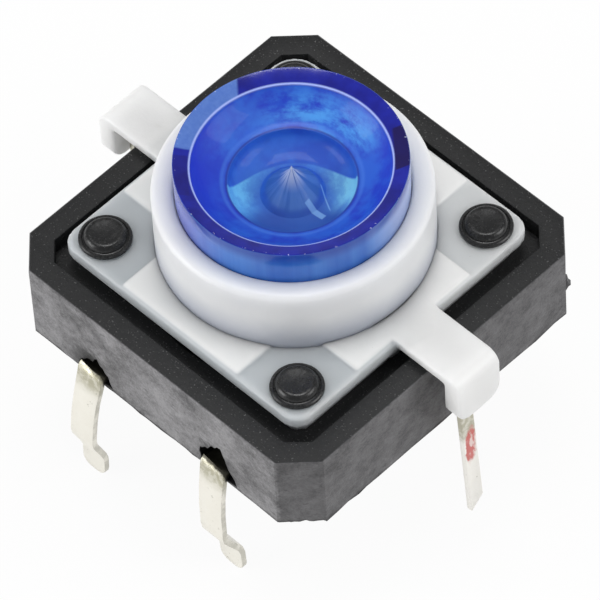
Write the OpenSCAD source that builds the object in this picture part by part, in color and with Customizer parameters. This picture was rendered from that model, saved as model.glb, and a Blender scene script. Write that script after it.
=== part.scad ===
// Illuminated push switch, 12 mm square, for through-hole boards. Millimetres, +Z up.
// The origin is the middle of the housing's underside, where it meets the board. The two
// arms that carry the lamp's leads run along X, and the switch terminals leave on the Y faces.

/* [Housing] */
// Width across the flats of the square housing
housing_width = 12; // [11.6:0.1:14]
// Height of the rim above the board
housing_height = 2.9; // [2.8:0.05:3.6]
// Leg of the flat cut across each upright corner
corner_cut = 1.0; // [0.5:0.1:1.5]
// Thickness of the rim around the recess
rim_thickness = 0.75; // [0.5:0.05:0.9]
// Depth of the recess that the cover plate lies in
recess_depth = 0.6; // [0.4:0.05:0.8]
// Leg of the cut across each corner of the recess
recess_cut = 0.55; // [0.3:0.05:0.9]
// Height of the top of the mouth that each terminal leaves by
mouth_height = 0.95; // [0.6:0.05:1.2]
// Thickness of the sill under each mouth
mouth_sill = 0.1; // [0.05:0.01:0.15]
// How far each mouth is let into the housing's side
mouth_depth = 0.45; // [0.2:0.05:0.8]
// Room on each side of a terminal in its mouth
mouth_side_gap = 0.25; // [0.1:0.05:0.5]

/* [Staked pegs] */
// Distance from the plate's edges to the middle of a peg
peg_inset = 0.95; // [0.9:0.01:1.05]
// Diameter of the peg's shank
peg_shank_diameter = 0.9; // [0.7:0.05:1]
// Diameter of the head that the shank was formed into
peg_head_diameter = 1.6; // [1.3:0.05:1.7]
// Height of the head's outer flange
peg_head_height = 0.22; // [0.15:0.01:0.3]
// Diameter of the raised crown on the head
peg_crown_diameter = 1.0; // [0.7:0.05:1.2]
// Height of the crown above the flange
peg_crown_height = 0.13; // [0.05:0.01:0.2]
// Width of the lip around the dish in the crown
peg_lip_width = 0.1; // [0.06:0.01:0.2]
// Depth of that dish
peg_dish_depth = 0.04; // [0.02:0.01:0.05]

/* [Cover plate] */
// Gap between the plate and the walls of the recess
plate_gap = 0.4; // [0.3:0.05:0.6]
// Thickness of the plate at its corners, under the peg heads
plate_thickness = 1.1; // [0.9:0.05:1.2]
// Thickness of the lip along the plate's edges
plate_edge = 0.45; // [0.3:0.05:0.6]
// How far the plate is set back below that lip
plate_setback = 0.3; // [0.1:0.05:0.3]
// Radius of the plate's corners
plate_corner_radius = 0.45; // [0.2:0.05:0.8]
// Width of the two raised bars that cross the plate
cross_width = 4.7; // [3.6:0.1:5]
// Distance from the plate's edges to the ends of the bars
cross_inset = 0.1; // [0.05:0.05:0.4]
// Height of the raised bars above the corners
cross_height = 0.1; // [0.05:0.05:0.3]
// Bevel along the upper edges of the bars
cross_bevel = 0.12; // [0.05:0.01:0.2]
// Width of plate left beside its round opening, at the middle of a side
opening_margin = 0.65; // [0.5:0.05:0.9]
// Width of the bridge that carries the lamp across the round opening
bridge_width = 1.5; // [1.2:0.05:1.7]
// Diameter of the lamp's seat in the middle of the bridge
seat_diameter = 3.6; // [3.4:0.1:4.2]

/* [Arms] */
// Gap between the housing's side and the turned-down end of an arm
arm_standoff = 0.75; // [0.5:0.05:1.5]
// Width of an arm
arm_width = 1.7; // [1.3:0.05:2]
// Thickness of the level part of an arm
arm_thickness = 0.35; // [0.3:0.05:0.5]
// Height of the turned-down end of an arm
arm_drop = 1.82; // [1.4:0.02:2.4]
// Thickness of the turned-down end
arm_end_thickness = 0.6; // [0.4:0.05:0.7]
// Radius over the nose of an arm
arm_nose_radius = 0.5; // [0.2:0.05:0.6]
// Radius along the sides of an arm
arm_edge_radius = 0.14; // [0.05:0.01:0.2]
// Radius of the lower corners of an arm's end
arm_corner_radius = 0.35; // [0.2:0.05:0.6]

/* [Button] */
// Thickness of the collar's wall around the lens
collar_wall = 0.67; // [0.6:0.01:0.9]
// Height of the collar's top face above the raised bars
collar_height = 2.2; // [1.6:0.1:3]
// Radius over the collar's top edge
collar_edge_radius = 0.18; // [0.1:0.01:0.3]
// Width of the bevel at the mouth of the collar's bore
collar_bore_bevel = 0.12; // [0.05:0.01:0.2]
// Width of the inner ledge that the lens sits on
ledge_width = 0.5; // [0.3:0.05:0.7]
// Thickness of that ledge
ledge_thickness = 0.3; // [0.2:0.05:0.4]
// Width of each of the two legs that reach down to the presser
leg_width = 2.6; // [2:0.1:3]
// How far the hook on each leg stands out
hook_reach = 0.35; // [0.2:0.05:0.4]
// Height of the hook
hook_height = 0.3; // [0.2:0.05:0.35]
// How far the legs reach below their hooks
leg_foot = 0.07; // [0.05:0.01:0.15]

/* [Lens] */
// How far the lens stands out of the collar
lens_stand = 1.16; // [0.8:0.05:2]
// Width of the flat rim around the bowl
lens_rim_width = 0.42; // [0.25:0.01:0.6]
// Bevel along the rim's outer edge
lens_edge_bevel = 0.06; // [0.03:0.01:0.1]
// Width of the bowl's sloping wall, from the rim to the ring step
bowl_wall_width = 1.06; // [0.9:0.02:1.4]
// Depth of that ring step below the rim
bowl_ring_depth = 0.92; // [0.7:0.02:1.1]
// Width and depth of that ring step
ring_step = 0.08; // [0.05:0.01:0.12]
// Height of the cone that rises from the bowl's floor
spike_height = 1.3; // [0.8:0.05:1.4]
// Diameter of the cone at the bowl's floor
spike_diameter = 1.5; // [1:0.1:2]
// Bevel in the top of the chamber around the lamp
chamber_bevel = 0.25; // [0.1:0.05:0.4]
// Thickness of lens left between the bowl's floor and the chamber
lens_web = 0.4; // [0.3:0.05:0.5]

/* [Lamp] */
// Diameter of the lamp's clear body
lamp_diameter = 2.9; // [2.6:0.05:3.1]
// Height of the straight part of the body
lamp_shoulder = 0.75; // [0.6:0.05:0.9]
// Rise of the domed top above that
lamp_rise = 0.55; // [0.4:0.05:0.7]
// Side of the square chip
chip_side = 0.32; // [0.2:0.02:0.4]
// Height of the chip
chip_height = 0.14; // [0.1:0.01:0.2]
// Diameter of the bond wire
wire_diameter = 0.05; // [0.04:0.01:0.08]
// Distance from the end of the anode lead to where the wire lands on it
wire_landing = 0.12; // [0.08:0.01:0.2]
// Diameter of the cathode lead's pad under the chip
chip_pad_diameter = 0.8; // [0.7:0.05:1.1]
// Gap between that pad and the anode lead
lead_split = 0.1; // [0.05:0.01:0.2]
// Width of a lamp lead
lead_width = 0.5; // [0.4:0.05:0.6]
// Thickness of a lamp lead
lead_thickness = 0.2; // [0.15:0.01:0.24]
// Inner radius of the bend at the top of a lamp lead
lead_bend_radius = 0.15; // [0.1:0.01:0.2]
// How far a lamp lead reaches below the board face
lead_reach = 3.5; // [2.5:0.1:5]
// Outward lean of a lamp lead below its arm, in degrees
lead_lean = 4; // [0:0.5:6]

/* [Contacts] */
// Distance between the two terminals on one side
terminal_pitch = 5; // [4.6:0.1:5.4]
// Width of a terminal
terminal_width = 0.95; // [0.7:0.05:1.1]
// Thickness of the contact strips
strip_thickness = 0.2; // [0.16:0.02:0.3]
// Thickness of the moulding below the contact strips
strip_cover = 0.2; // [0.15:0.05:0.3]
// How far a terminal's shoulder stands out from the housing's side
terminal_standoff = 0.35; // [0.3:0.01:0.6]
// Radius of the bend at the shoulder, at the middle of the metal
shoulder_radius = 0.35; // [0.25:0.05:0.5]
// How far a terminal reaches below the board face
terminal_reach = 4.4; // [3.5:0.1:5]
// How far the terminal's knee stands out from its shoulder
knee_offset = 0.4; // [0.1:0.05:0.6]
// Depth of the knee below the board face
knee_depth = 2.2; // [1.5:0.1:2.8]
// How far the foot stands out from the shoulder
foot_offset = 0.02; // [0:0.01:0.1]
// Length of the straight foot below the kink
foot_length = 0.7; // [0.4:0.05:0.7]
// Diameter of the contact in the middle of the pocket
contact_diameter = 0.8; // [0.6:0.05:1.2]
// Diameter of the pad that carries it
contact_pad_diameter = 1.2; // [1.2:0.1:2]
// Width of the contact under the dome's rim
rim_contact_width = 1.2; // [0.8:0.1:2]
// Thickness of moulding between the contact strips and the pocket
pocket_cover = 0.2; // [0.05:0.01:0.25]

/* [Snap dome and travel] */
// Diameter of the snap dome
dome_diameter = 6; // [5:0.1:6.4]
// Rise of the dome
dome_rise = 0.4; // [0.35:0.01:0.45]
// Thickness of the dome
dome_thickness = 0.08; // [0.06:0.01:0.1]
// Travel of the button
travel = 0.3; // [0.2:0.01:0.32]
// Thickness of the presser's disc
presser_thickness = 0.3; // [0.25:0.01:0.4]
// Diameter of the nub under the presser
nub_diameter = 1.6; // [1:0.1:2.4]
// How far before the end of the travel the dome meets the middle contact
contact_lead = 0.02; // [0.01:0.01:0.05]

/* [Fits] */
// Gap between the collar and the opening in the plate
collar_gap = 0.1; // [0.05:0.01:0.15]
// Room between the lamp's body and the lens around it
chamber_gap = 0.5; // [0.3:0.05:0.6]
// Room above the lamp's body at full travel
lamp_gap = 0.21; // [0.1:0.01:0.3]
// Gap between the lens and the collar
lens_gap = 0.03; // [0.02:0.01:0.06]
// Gap between a peg and its hole in the plate
peg_gap = 0.02; // [0.02:0.01:0.04]
// Room above the bridge for the collar at full travel
notch_gap = 0.05; // [0.03:0.01:0.1]
// Room on each side of the bridge in the collar's notches
notch_side_gap = 0.15; // [0.08:0.01:0.25]
// Gap between the hooks and the underside of the plate at rest
hook_gap = 0.03; // [0.02:0.01:0.05]
// Gap between the dome's rim and its pocket
dome_gap = 0.15; // [0.05:0.01:0.25]
// Gap between the button and the well in the housing
well_gap = 0.15; // [0.1:0.01:0.25]
// Room under the presser at full travel
presser_gap = 0.05; // [0.03:0.01:0.1]
// Gap between the nub and the dome at rest
nub_gap = 0.02; // [0.01:0.01:0.04]

/* [Hidden] */
$fn = 96;
// Overlap that lets cuts pass right through a face
cut = rim_thickness;

// Levels of the housing, the plate and the button
floor_z = housing_height - recess_depth;
pad_z = floor_z + plate_thickness;
lip_z = pad_z - plate_edge;
cross_z = pad_z + cross_height;
collar_z = cross_z + collar_height;
rim_z = collar_z + lens_stand;

// Widths from the housing's sides inwards to the lens
recess_width = housing_width - 2 * rim_thickness;
plate_width = recess_width - 2 * plate_gap;
peg_spacing = plate_width - 2 * peg_inset;
cross_length = plate_width - 2 * cross_inset;
opening_radius = plate_width / 2 - opening_margin;
collar_radius = opening_radius - collar_gap;
collar_bore_radius = collar_radius - collar_wall;
lens_radius = collar_bore_radius - lens_gap;
bowl_rim_radius = lens_radius - lens_rim_width;
ring_radius = bowl_rim_radius - bowl_wall_width;

// The lamp's leads lie on the underside of the arms and turn down inside the arms' ends
arm_end_x = housing_width / 2 + arm_standoff;
arm_tip_x = arm_end_x + arm_end_thickness;
lead_top_z = cross_z - arm_thickness;
lead_z = lead_top_z - lead_thickness;
lead_bend_x = arm_end_x - lead_thickness - lead_bend_radius;
arm_end_z = cross_z - arm_drop;
anode_start_x = chip_pad_diameter / 2 + lead_split;
lamp_top_z = lead_top_z + lamp_shoulder + lamp_rise;

// The collar is notched over the bridge, and the lens over the lamp
notch_z = lead_top_z + travel + notch_gap;
notch_half_width = bridge_width / 2 + notch_side_gap;
collar_foot_z = floor_z + travel;
lens_foot_z = notch_z + ledge_thickness;
hook_top_z = floor_z - hook_gap;
hook_z = hook_top_z - hook_height;
hook_radius = collar_radius + hook_reach;
chamber_radius = lamp_diameter / 2 + chamber_gap;
chamber_z = lamp_top_z + travel + lamp_gap;
bowl_z = chamber_z + lens_web;

// Contact strips lie in the moulding, under the floor of the dome's pocket
strip_mid_z = strip_cover + strip_thickness / 2;
strip_top_z = strip_cover + strip_thickness;
pocket_z = strip_top_z + pocket_cover;
pocket_radius = dome_diameter / 2 + dome_gap;
well_radius = hook_radius + well_gap;
centre_contact_z = pocket_z + dome_rise - travel + contact_lead;
nub_z = pocket_z + dome_rise + dome_thickness + nub_gap;
presser_top_z = hook_z - leg_foot;
presser_z = presser_top_z - presser_thickness;
shelf_z = presser_z - travel - presser_gap;

// Middle of the metal from the strip in the housing to the terminal's tip, as Y outward from
// the middle of the housing and Z
shoulder_y = housing_width / 2 + terminal_standoff - strip_thickness / 2;
knee_y = shoulder_y + knee_offset;
foot_y = shoulder_y + foot_offset;
foot_z = foot_length - terminal_reach;
terminal_path = concat(
    [[-terminal_width / 2, strip_mid_z]],
    [for (a = [0:18:90])
        [shoulder_y, strip_mid_z] - shoulder_radius * [1 - sin(a), 1 - cos(a)]],
    [[(shoulder_y + knee_y) / 2, -0.55 * knee_depth],
     [knee_y, -knee_depth],
     [knee_y + 0.05 * (foot_y - knee_y), 0.77 * -knee_depth + 0.23 * foot_z],
     [knee_y + 0.85 * (foot_y - knee_y), 0.3 * -knee_depth + 0.7 * foot_z],
     [foot_y, foot_z],
     [foot_y, -terminal_reach]]);

// Square with its four corners cut off
module cut_square(width, leg) {
    h = width / 2;
    polygon([[-h, leg - h], [leg - h, -h], [h - leg, -h], [h, leg - h],
             [h, h - leg], [h - leg, h], [leg - h, h], [-h, h - leg]]);
}

// Rectangle with round corners, made of straight and round pieces
module round_rect(x, y, r) {
    square([x - 2 * r, y], center = true);
    square([x, y - 2 * r], center = true);
    for (sx = [-1, 1], sy = [-1, 1])
        translate([sx * (x / 2 - r), sy * (y / 2 - r)]) circle(r);
}

// Flat outline drawn in X and Z, given a depth along Y
module along_y(depth) {
    rotate([90, 0, 0]) linear_extrude(depth, center = true) children();
}

// Flat outline drawn in Y and Z, given a length along X
module along_x(length) {
    rotate([90, 0, 90]) linear_extrude(length, center = true) children();
}

// Copies its child at the four pegs
module at_pegs() {
    for (sx = [-1, 1], sy = [-1, 1])
        translate([sx * peg_spacing / 2, sy * peg_spacing / 2, 0]) children();
}

// A peg and the head formed on it, as a turned profile
module staked_peg() {
    head_z = pad_z + peg_head_height;
    crown_z = head_z + peg_crown_height;
    head_r = peg_head_diameter / 2;
    crown_r = peg_crown_diameter / 2;
    lip_r = crown_r - peg_lip_width;
    round_r = peg_head_height * 0.45;
    rotate_extrude() {
        translate([0, floor_z - round_r]) square([peg_shank_diameter / 2, head_z - floor_z]);
        translate([0, pad_z]) square([head_r, peg_head_height - round_r]);
        translate([0, pad_z]) square([head_r - round_r, peg_head_height]);
        translate([head_r - round_r, head_z - round_r]) circle(round_r);
        polygon([[0, pad_z + round_r], [crown_r, pad_z + round_r],
                 [crown_r, crown_z - peg_dish_depth], [crown_r - peg_dish_depth, crown_z],
                 [lip_r, crown_z], [lip_r - peg_dish_depth, crown_z - peg_dish_depth],
                 [0, crown_z - peg_dish_depth]]);
    }
}

// Unit direction from one point of a path to the next
function heading(path, i) =
    let (a = path[max(0, i - 1)], b = path[min(len(path) - 1, i + 1)], d = b - a)
    d / norm(d);

// Outline of a flat strip bent along a path
function strip_outline(path, t) = concat(
    [for (i = [0:len(path) - 1]) let (h = heading(path, i)) path[i] + [h.y, -h.x] * t / 2],
    [for (i = [len(path) - 1:-1:0]) let (h = heading(path, i)) path[i] - [h.y, -h.x] * t / 2]);

// One terminal on the +Y side, with its foot rounded off
module terminal() {
    tip_r = terminal_width / 2;
    intersection() {
        along_x(terminal_width) polygon(strip_outline(terminal_path, strip_thickness));
        rotate([90, 0, 0]) linear_extrude(2 * housing_width, center = true) union() {
            translate([0, -terminal_reach + tip_r]) circle(tip_r);
            translate([-tip_r, -terminal_reach + tip_r]) square([terminal_width, 2 * terminal_reach]);
        }
    }
}

// A strip with a terminal at each end, before its contact is added
module strip_with_terminals() {
    for (turn = [0, 180]) rotate([0, 0, turn]) terminal();
}

// Strip with the contact under the dome's rim, flush with the pocket's floor
module contact_common_shape() {
    inner_x = (terminal_pitch - terminal_width) / 2;
    translate([-terminal_pitch / 2, 0, 0]) strip_with_terminals();
    translate([-pocket_radius, -rim_contact_width / 2, strip_cover])
        cube([pocket_radius - inner_x, rim_contact_width, pocket_z - strip_cover]);
}

// Strip with the contact in the middle of the pocket
module contact_centre_shape() {
    translate([terminal_pitch / 2, 0, 0]) strip_with_terminals();
    translate([0, -terminal_width / 2, strip_cover])
        cube([terminal_pitch / 2, terminal_width, strip_thickness]);
    translate([0, 0, strip_cover]) cylinder(h = strip_thickness, d = contact_pad_diameter);
    translate([0, 0, strip_cover])
        cylinder(h = centre_contact_z - strip_cover, d = contact_diameter);
}

module contact_common() {
    color("lightgoldenrodyellow") contact_common_shape();
}

module contact_centre() {
    color("lightgoldenrodyellow") contact_centre_shape();
}

// Black housing: recess, well, dome pocket, four staked pegs and the terminals' mouths
module housing() {
    mouth_width = terminal_width + 2 * mouth_side_gap;
    color("dimgray") difference() {
        union() {
            difference() {
                linear_extrude(housing_height) cut_square(housing_width, corner_cut);
                translate([0, 0, floor_z]) linear_extrude(recess_depth + cut)
                    cut_square(recess_width, recess_cut);
            }
            at_pegs() staked_peg();
        }
        translate([0, 0, shelf_z]) cylinder(h = floor_z - shelf_z + cut / 2, r = well_radius);
        translate([0, 0, pocket_z]) cylinder(h = floor_z - pocket_z, r = pocket_radius);
        for (sx = [-1, 1], sy = [-1, 1])
            translate([sx * terminal_pitch / 2 - mouth_width / 2,
                       sy * (housing_width - mouth_depth + cut) / 2 - (mouth_depth + cut) / 2,
                       mouth_sill])
                cube([mouth_width, mouth_depth + cut, mouth_height - mouth_sill]);
        contact_common_shape();
        contact_centre_shape();
    }
}

// Sprung steel dome, a thin cap of a sphere
module snap_dome() {
    r = dome_diameter / 2;
    sphere_r = (r * r + dome_rise * dome_rise) / (2 * dome_rise);
    color("silver") translate([0, 0, pocket_z + dome_rise - sphere_r]) rotate_extrude()
        intersection() {
            difference() {
                circle(sphere_r + dome_thickness, $fn = 360);
                circle(sphere_r, $fn = 360);
            }
            translate([0, sphere_r - dome_rise]) square([r, dome_rise + dome_thickness]);
        }
}

// Disc that passes the button's push on to the dome
module presser() {
    color("black") {
        translate([0, 0, presser_z]) cylinder(h = presser_thickness, r = collar_radius);
        translate([0, 0, nub_z]) cylinder(h = presser_top_z - nub_z, d = nub_diameter);
    }
}

// Raised bar across the plate, with bevelled edges and ends
module cross_bar() {
    l = cross_length / 2;
    w = cross_width / 2;
    b = cross_bevel;
    intersection() {
        along_y(2 * w) polygon([[-l, lip_z], [l, lip_z], [l, pad_z],
                                [l - b, cross_z], [b - l, cross_z], [-l, pad_z]]);
        along_x(2 * l) polygon([[-w, lip_z], [w, lip_z], [w, pad_z],
                                [w - b, cross_z], [b - w, cross_z], [-w, pad_z]]);
    }
}

// Outline of all that lies under a round shoulder at this place and height
module under_shoulder(x, z, r, start) {
    translate([start, arm_end_z]) square([x - r - start, z - arm_end_z]);
    translate([start, arm_end_z]) square([x - start, z - r - arm_end_z]);
    translate([x - r, z - r]) circle(r);
}

// One arm on the +X side: level part, nose and turned-down end with round lower corners. Its
// root lies in the raised bar
module arm() {
    root = opening_radius;
    level = arm_tip_x - root;
    e = arm_edge_radius;
    c = arm_corner_radius;
    intersection() {
        along_y(arm_width) intersection() {
            union() {
                translate([root, lead_top_z]) square([level, arm_thickness]);
                translate([arm_end_x, arm_end_z + e]) square([arm_end_thickness, arm_drop - e]);
                translate([arm_end_x + e, arm_end_z])
                    square([arm_end_thickness - 2 * e, arm_drop]);
                for (x = [arm_end_x + e, arm_tip_x - e]) translate([x, arm_end_z + e]) circle(e);
            }
            under_shoulder(arm_tip_x, cross_z, arm_nose_radius, root);
        }
        along_x(3 * arm_tip_x) translate([0, cross_z]) {
            translate([0, c / 2 - arm_drop / 2]) round_rect(arm_width, arm_drop - c, e);
            translate([0, -arm_drop / 2 - e]) round_rect(arm_width, arm_drop - 2 * e, c);
        }
        translate([root + level / 2, 0, 0]) linear_extrude(2 * cross_z)
            round_rect(level, arm_width, e);
    }
}

// White cover plate with its cross, arms, bridge and lamp seat
module cover_plate() {
    color("whitesmoke") difference() {
        union() {
            difference() {
                union() {
                    body_width = plate_width - 2 * plate_setback;
                    translate([0, 0, floor_z]) linear_extrude(plate_thickness - plate_edge / 2)
                        round_rect(body_width, body_width, plate_corner_radius);
                    translate([0, 0, lip_z]) linear_extrude(plate_edge)
                        round_rect(plate_width, plate_width, plate_corner_radius);
                    cross_bar();
                    rotate([0, 0, 90]) cross_bar();
                    for (turn = [0, 180]) rotate([0, 0, turn]) arm();
                }
                translate([0, 0, floor_z - cut])
                    cylinder(h = cross_z - floor_z + 2 * cut, r = opening_radius);
            }
            translate([0, 0, (floor_z + lead_top_z) / 2])
                cube([2 * opening_radius + opening_margin, bridge_width, lead_top_z - floor_z],
                     center = true);
            translate([0, 0, floor_z]) cylinder(h = lead_top_z - floor_z, d = seat_diameter);
        }
        at_pegs() translate([0, 0, floor_z - cut])
            cylinder(h = plate_thickness + 2 * cut, d = peg_shank_diameter + 2 * peg_gap);
        translate([0, 0, lead_z + lead_thickness / 2])
            cube([2 * lead_bend_x, lead_width, lead_thickness], center = true);
        translate([0, 0, lead_z]) cylinder(h = lead_thickness + cut, d = chip_pad_diameter);
    }
}

// White collar of the button: ring, ledge for the lens, notches over the bridge, hooked legs
module collar() {
    e = collar_edge_radius;
    bevel_r = collar_bore_radius + collar_bore_bevel;
    ledge_r = collar_bore_radius - ledge_width;
    color("white") {
        difference() {
            rotate_extrude() {
                polygon([[collar_bore_radius, collar_foot_z], [collar_radius, collar_foot_z],
                         [collar_radius, collar_z - e], [collar_radius - e, collar_z - e],
                         [collar_radius - e, collar_z], [bevel_r, collar_z],
                         [collar_bore_radius, collar_z - collar_bore_bevel],
                         [collar_bore_radius, lens_foot_z], [ledge_r, lens_foot_z],
                         [ledge_r, notch_z], [collar_bore_radius, notch_z]]);
                translate([collar_radius - e, collar_z - e]) circle(e);
            }
            translate([-2 * collar_radius, -notch_half_width, collar_foot_z - cut])
                cube([4 * collar_radius, 2 * notch_half_width, notch_z - collar_foot_z + cut]);
        }
        intersection() {
            rotate_extrude() polygon([
                [collar_bore_radius, presser_top_z], [collar_radius, presser_top_z],
                [collar_radius, hook_z], [hook_radius, hook_z + 2 * hook_height / 3],
                [hook_radius, hook_top_z], [collar_radius, hook_top_z],
                [collar_radius, notch_z], [collar_bore_radius, notch_z]]);
            cube([leg_width, 4 * collar_radius, 4 * collar_z], center = true);
        }
    }
}

// Blue lens: rim, bowl with a ring step and a central cone, chamber for the lamp underneath
module lens() {
    ring_z = rim_z - bowl_ring_depth;
    spike_r = spike_diameter / 2;
    inner_r = ring_radius - ring_step;
    inner_z = ring_z - ring_step;
    bevel = lens_edge_bevel;
    steps = 5;
    well = [for (a = [0:15:90])
        [spike_r + (inner_r - spike_r) * cos(a), inner_z - (inner_z - bowl_z) * sin(a)]];
    spike = [for (k = [1:steps])
        [spike_r * pow(1 - k / steps, 1.6), bowl_z + spike_height * k / steps]];
    color("royalblue", 0.6) rotate_extrude() polygon(concat(
        [[chamber_radius, lens_foot_z], [lens_radius, lens_foot_z], [lens_radius, rim_z - bevel],
         [lens_radius - bevel, rim_z], [bowl_rim_radius + bevel / 2, rim_z],
         [bowl_rim_radius, rim_z - bevel / 2], [ring_radius, ring_z]],
        well, spike,
        [[0, chamber_z], [chamber_radius - chamber_bevel, chamber_z],
         [chamber_radius, chamber_z - chamber_bevel]]));
}

// Chip on the middle of the cathode lead
module chip_shape() {
    translate([-chip_side / 2, -chip_side / 2, lead_top_z]) cube([chip_side, chip_side, chip_height]);
}

// Half loop of wire from the chip's top down to the anode lead
module wire_shape() {
    end_x = anode_start_x + wire_landing;
    translate([end_x / 2, 0, lead_top_z + chip_height]) rotate([90, 0, 0])
        rotate_extrude(angle = 180) translate([end_x / 2, 0]) circle(d = wire_diameter, $fn = 16);
    translate([end_x, 0, lead_top_z]) cylinder(h = chip_height, d = wire_diameter, $fn = 16);
}

// Clear body of the lamp, moulded over the chip, the wire and the leads' inner ends
module lamp_body() {
    r = lamp_diameter / 2;
    dome_r = (r * r + lamp_rise * lamp_rise) / (2 * lamp_rise);
    color("aliceblue", 0.5) difference() {
        rotate_extrude() {
            translate([0, lead_top_z]) square([r, lamp_shoulder]);
            intersection() {
                translate([0, lamp_top_z - dome_r]) circle(dome_r, $fn = 180);
                translate([0, lamp_top_z - lamp_rise]) square([r, lamp_rise]);
            }
        }
        chip_shape();
        wire_shape();
    }
}

module lamp_chip() {
    color("gold") chip_shape();
}

module bond_wire() {
    color("goldenrod") wire_shape();
}

// A lead on the +X side: level from its start near the middle, bent down inside the arm's end,
// then leaning out to a bevelled tip
module lead(start) {
    t = lead_thickness;
    x = arm_end_x - t;
    tip_x = x + tan(lead_lean) * (arm_end_z + lead_reach);
    along_y(lead_width) {
        difference() {
            under_shoulder(arm_end_x, lead_top_z, lead_bend_radius + t, start);
            under_shoulder(x, lead_z, lead_bend_radius, start - cut);
        }
        polygon([
            [x, arm_end_z + t], [x, arm_end_z], [tip_x, t - lead_reach],
            [tip_x + 0.3 * t, -lead_reach], [tip_x + 0.7 * t, -lead_reach],
            [tip_x + t, t - lead_reach], [arm_end_x, arm_end_z], [arm_end_x, arm_end_z + t]]);
    }
}

// Lead towards -X, with the round pad that carries the chip
module lead_cathode() {
    color("gainsboro") {
        rotate([0, 0, 180]) lead(0);
        translate([0, 0, lead_z]) cylinder(h = lead_thickness, d = chip_pad_diameter);
    }
}

// Lead towards +X, ending beside the pad
module lead_anode() {
    color("gainsboro") lead(anode_start_x);
}

housing();
contact_common();
contact_centre();
snap_dome();
presser();
cover_plate();
collar();
lens();
lamp_body();
lamp_chip();
bond_wire();
lead_cathode();
lead_anode();
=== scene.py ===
import math

import bmesh
import bpy
from mathutils import Matrix, Vector, noise


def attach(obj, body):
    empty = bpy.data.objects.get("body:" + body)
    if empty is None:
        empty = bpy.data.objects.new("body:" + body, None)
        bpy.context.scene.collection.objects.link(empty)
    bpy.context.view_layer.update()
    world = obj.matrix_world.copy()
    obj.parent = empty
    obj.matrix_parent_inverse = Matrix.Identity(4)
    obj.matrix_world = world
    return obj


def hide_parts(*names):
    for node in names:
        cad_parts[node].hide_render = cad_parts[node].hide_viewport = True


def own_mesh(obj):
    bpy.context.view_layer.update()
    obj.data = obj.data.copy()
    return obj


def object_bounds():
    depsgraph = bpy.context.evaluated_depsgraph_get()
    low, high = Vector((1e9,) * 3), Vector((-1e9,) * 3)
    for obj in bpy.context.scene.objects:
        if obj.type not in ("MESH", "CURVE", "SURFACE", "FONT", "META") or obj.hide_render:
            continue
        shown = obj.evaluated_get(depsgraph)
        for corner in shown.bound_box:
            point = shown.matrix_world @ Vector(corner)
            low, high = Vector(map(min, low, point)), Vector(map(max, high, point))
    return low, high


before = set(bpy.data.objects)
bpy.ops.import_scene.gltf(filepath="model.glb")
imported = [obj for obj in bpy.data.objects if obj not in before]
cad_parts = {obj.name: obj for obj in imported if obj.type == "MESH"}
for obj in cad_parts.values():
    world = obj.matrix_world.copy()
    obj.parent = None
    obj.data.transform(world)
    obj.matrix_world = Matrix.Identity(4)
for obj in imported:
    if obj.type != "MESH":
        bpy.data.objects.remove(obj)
cad_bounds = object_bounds()
MM = 0.001

# The housing is one black moulding of glass-filled nylon. Its four pegs were pressed flat over
# the cover plate with a hot tool, and the terminals leave by rough mouths at the foot of two
# sides. Pieces are modelled in millimetres, and settle() brings them to metres.
HOUSING_HALF = 6.0
HOUSING_HEIGHT = 2.9
RECESS_FLOOR = 2.3
PLATE_PAD = 3.4
PEG_PLACE = 3.9
WELL_RADIUS, WELL_FLOOR = 4.6, 1.25
POCKET_RADIUS, POCKET_FLOOR = 3.15, 0.6


def only(piece):
    """Selects one piece and nothing else, in object mode."""
    if bpy.context.mode != "OBJECT":
        bpy.ops.object.mode_set(mode="OBJECT")
    bpy.ops.object.select_all(action="DESELECT")
    if piece:
        piece.select_set(True)
        bpy.context.view_layer.objects.active = piece


def block(name, low, high):
    """A box between two corners."""
    only(None)
    low, high = Vector(low), Vector(high)
    bpy.ops.mesh.primitive_cube_add(size=1, location=(low + high) / 2)
    piece = bpy.context.object
    piece.name = name
    piece.scale = high - low
    bpy.ops.object.transform_apply(location=True, rotation=True, scale=True)
    return piece


def line(name, points):
    """Edges drawn from point to point. It stays in edit mode, with all of it selected."""
    only(None)
    bpy.ops.mesh.primitive_plane_add(size=1)
    piece = bpy.context.object
    piece.name = name
    bpy.ops.object.mode_set(mode="EDIT")
    bpy.ops.mesh.select_mode(type="VERT")
    bpy.ops.mesh.select_all(action="SELECT")
    bpy.ops.mesh.merge(type="CENTER")
    points = [Vector(point) for point in points]
    bpy.ops.transform.translate(value=points[0])
    for here, there in zip(points, points[1:]):
        bpy.ops.mesh.extrude_vertices_move(TRANSFORM_OT_translate={"value": there - here})
    bpy.ops.mesh.select_all(action="SELECT")
    return piece


def turned(name, profile, steps=96):
    """A round solid about the Z axis, from its outline as (radius, height)."""
    piece = line(name, [(r, 0, z) for r, z in profile])
    bpy.ops.mesh.spin(steps=steps, angle=math.tau, center=(0, 0, 0), axis=(0, 0, 1))
    bpy.ops.mesh.select_all(action="SELECT")
    bpy.ops.mesh.remove_doubles(threshold=0.0005)
    bpy.ops.mesh.normals_make_consistent(inside=False)
    bpy.ops.object.mode_set(mode="OBJECT")
    return piece


def slab(name, outline, start, end):
    """A flat outline in X and Z, pulled along Y from start to end."""
    piece = line(name, [(x, start, z) for x, z in outline + outline[:1]])
    bpy.ops.mesh.remove_doubles(threshold=0.0005)
    bpy.ops.mesh.edge_face_add()
    bpy.ops.mesh.extrude_region_move(TRANSFORM_OT_translate={"value": (0, end - start, 0)})
    bpy.ops.mesh.select_all(action="SELECT")
    bpy.ops.mesh.normals_make_consistent(inside=False)
    bpy.ops.object.mode_set(mode="OBJECT")
    return piece


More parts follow.
